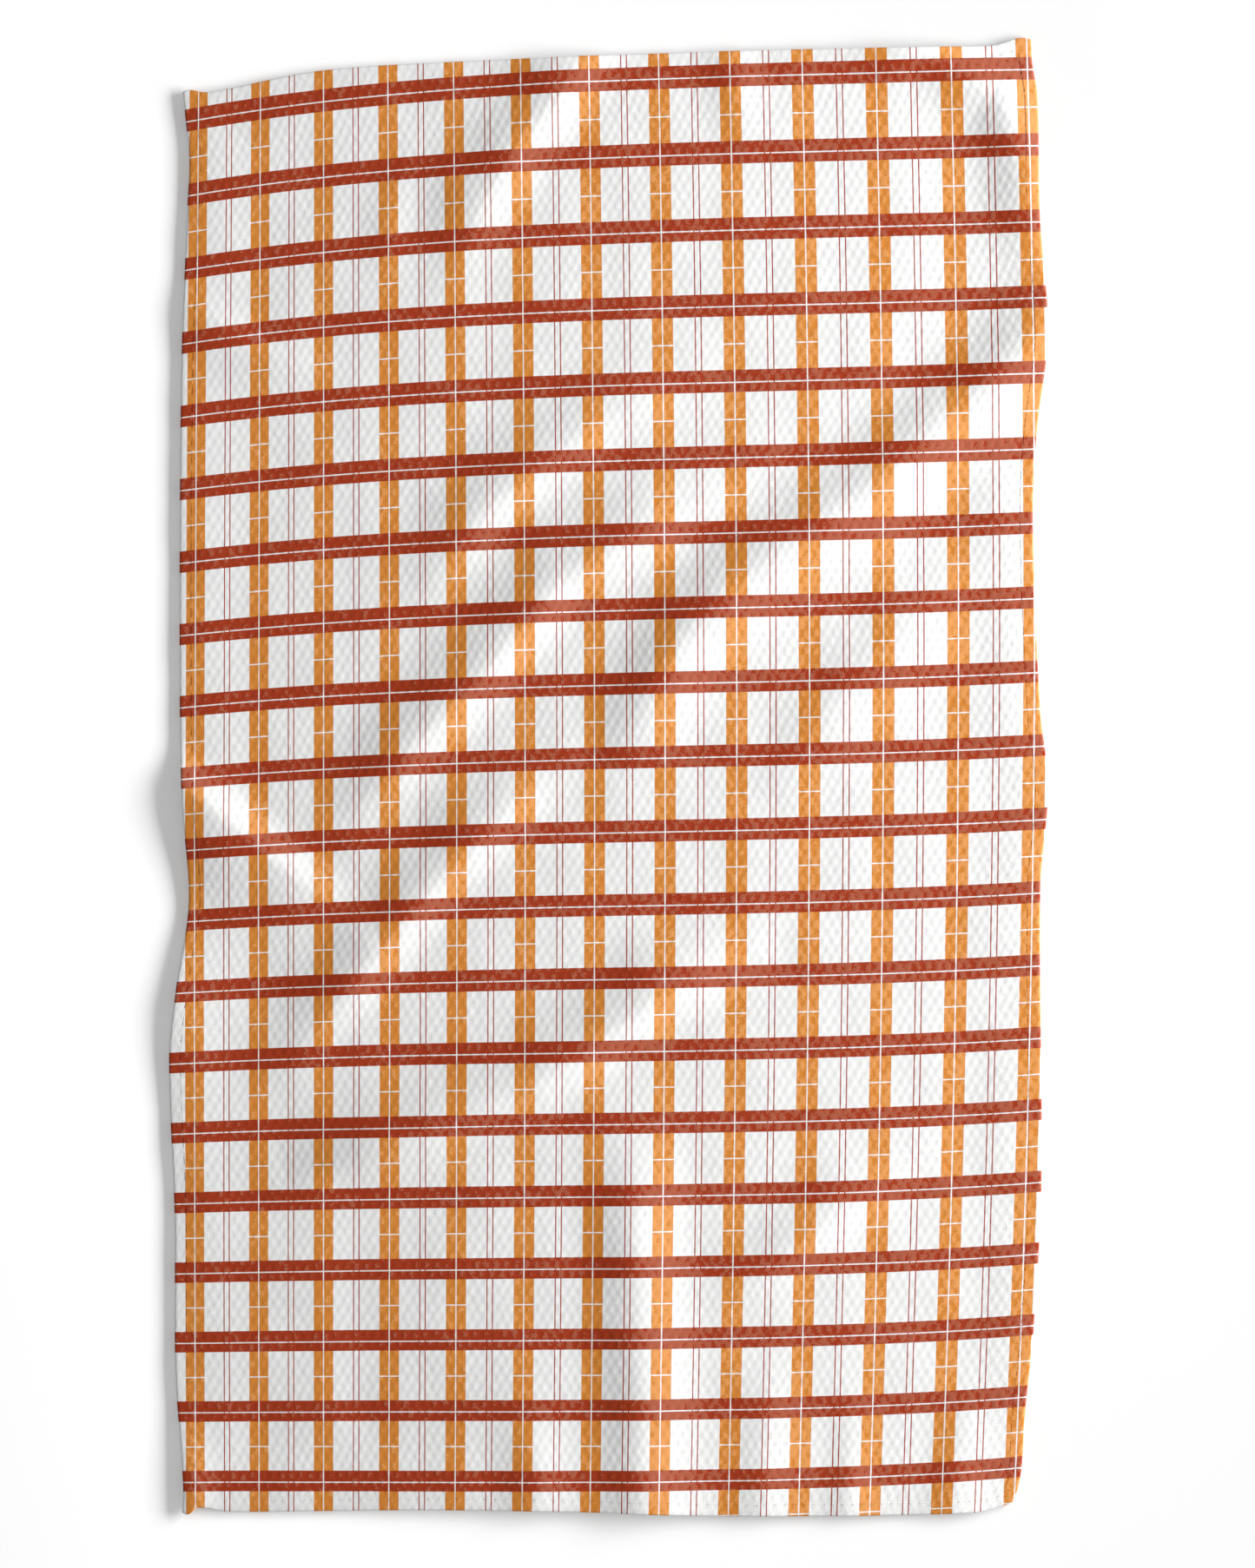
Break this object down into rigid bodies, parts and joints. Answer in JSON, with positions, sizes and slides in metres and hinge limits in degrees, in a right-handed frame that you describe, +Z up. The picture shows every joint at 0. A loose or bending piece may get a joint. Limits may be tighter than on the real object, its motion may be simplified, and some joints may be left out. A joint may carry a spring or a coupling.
{
  "type": "golf towel",
  "caption": "Hemmed waffle-weave cloth towel with a printed plaid check, lying face up with soft folds, turned hems, seam threads and a blank care label on its back.",
  "frame": {"origin": "on the surface that the towel lies on, under the middle of its outline", "axes": "+X across the towel, +Y up its length, +Z up out of its printed face"},
  "size_m": [0.4596, 0.7736, 0.0077],
  "materials": {
    "printed_cloth": "white waffle-weave cloth printed with a rust and orange plaid, matt",
    "hem_cloth": "the same cloth's plain white back, turned and pressed",
    "thread": "spun polyester sewing thread, off-white",
    "label_satin": "blank white woven satin ribbon, slight sheen"
  },
  "bodies": {
    "towel": {"cloth_panel": "printed_cloth", "hem_left": "hem_cloth", "hem_right": "hem_cloth", "hem_bottom": "hem_cloth", "hem_top": "hem_cloth", "needle_thread_left": "thread", "needle_thread_right": "thread", "needle_thread_bottom": "thread", "needle_thread_top": "thread", "bobbin_thread_left": "thread", "bobbin_thread_right": "thread", "bobbin_thread_bottom": "thread", "bobbin_thread_top": "thread"},
    "label": {"care_label": "label_satin"}
  },
  "joints": [
    {"name": "label_fold", "type": "hinge", "parent": "towel", "child": "label", "pos_m": [-0.2188, -0.289, 0.00032], "axis": [0, 1, 0], "range_deg": [0, 150]}
  ]
}
